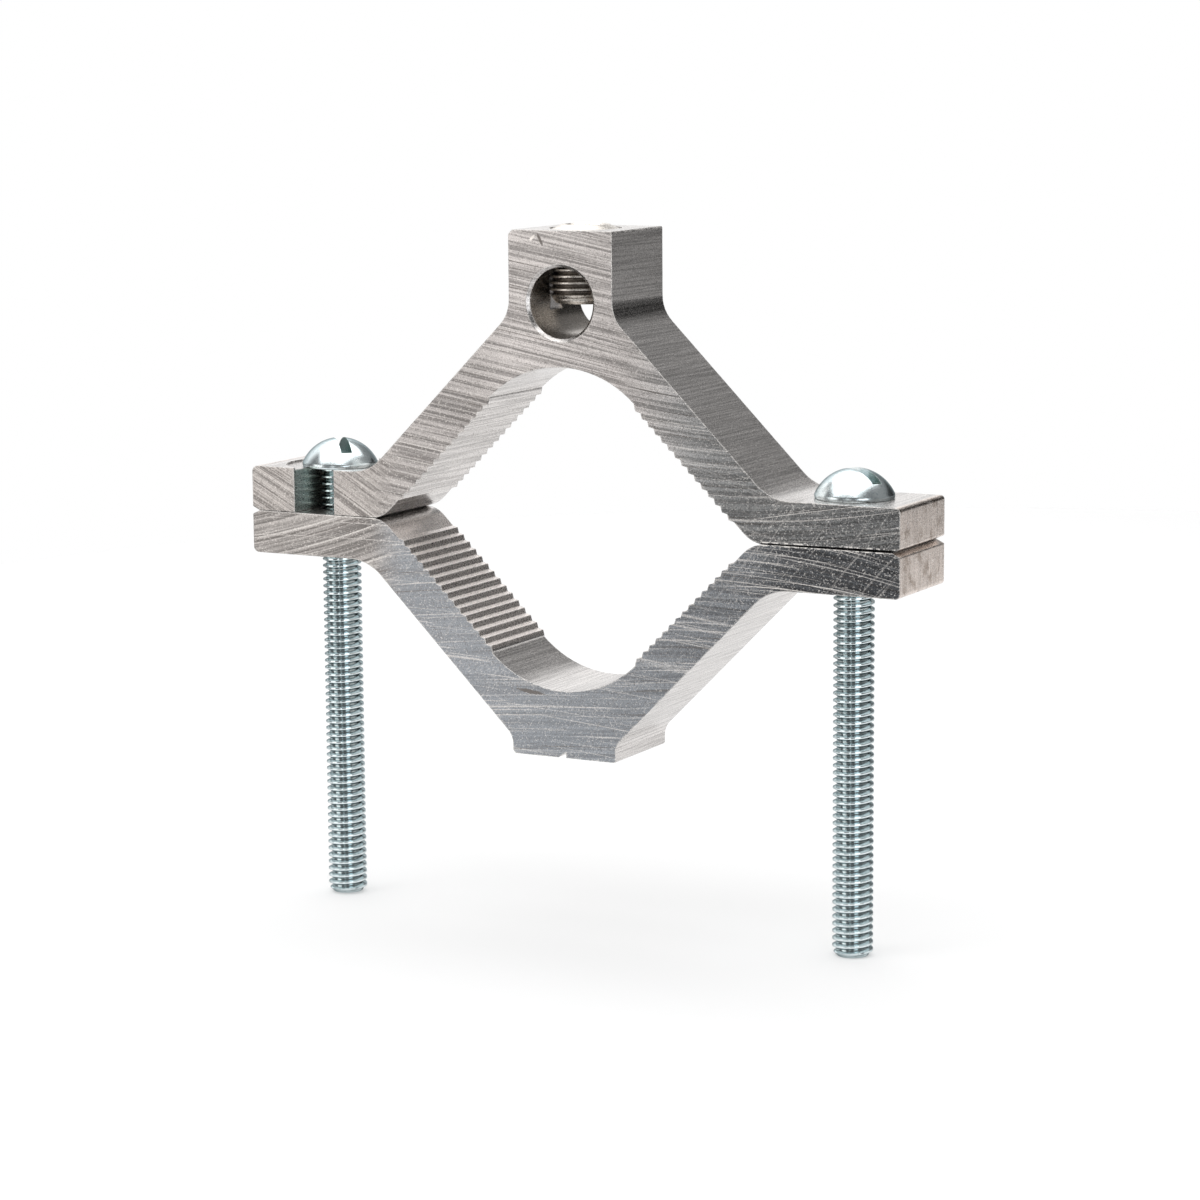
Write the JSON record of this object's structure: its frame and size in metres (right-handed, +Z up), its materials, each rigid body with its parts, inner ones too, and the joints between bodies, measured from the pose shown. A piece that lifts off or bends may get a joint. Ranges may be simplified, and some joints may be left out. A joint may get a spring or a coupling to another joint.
{
  "type": "grounding connector",
  "caption": "Aluminium ground clamp for pipe: V jaws with toothed grips, a lug with conductor bore and set screw, and long clamp screws, with an open slot at one end.",
  "frame": {"origin": "axis of the clamped pipe, at the middle of the jaws' depth and at the upper jaw's parting face", "axes": "+Z up from the pipe's axis to the conductor lug, along the clamp screws; +Y along the pipe, with the slot's open mouth on the -Y side; +X from the slotted end to the plain end"},
  "size_m": [0.1429, 0.0212, 0.1394],
  "materials": {
    "sawn_aluminium": "satin extruded and sawn",
    "zinc_plated_steel": "bright zinc plate",
    "set_screw_aluminium": "satin machined"
  },
  "bodies": {
    "upper_jaw_body": {"upper_jaw": "sawn_aluminium"},
    "right_screw_body": {"right_clamp_screw": "zinc_plated_steel"},
    "lower_jaw_body": {"lower_jaw": "sawn_aluminium"},
    "left_screw_body": {"left_clamp_screw": "zinc_plated_steel"},
    "set_screw_body": {"set_screw": "set_screw_aluminium"}
  },
  "joints": [
    {"name": "lower_jaw_swing", "type": "hinge", "parent": "upper_jaw_body", "child": "right_screw_body", "pos_m": [0.0573, 0, 0], "axis": [0, 0, 1], "range_deg": [0, 100]},
    {"name": "jaw_opening", "type": "slide", "parent": "right_screw_body", "child": "lower_jaw_body", "axis": [0, 0, -1], "range_m": [0, 0.07]},
    {"name": "left_screw_feed", "type": "slide", "parent": "lower_jaw_body", "child": "left_screw_body", "axis": [0, 0, 1], "range_m": [0, 0.07]},
    {"name": "set_screw_feed", "type": "slide", "parent": "upper_jaw_body", "child": "set_screw_body", "axis": [0, 0, 1], "range_m": [-0.0024, 0.008]}
  ],
  "couplings": [
    {"joint": "left_screw_feed", "follows": "jaw_opening", "ratio": 1}
  ]
}
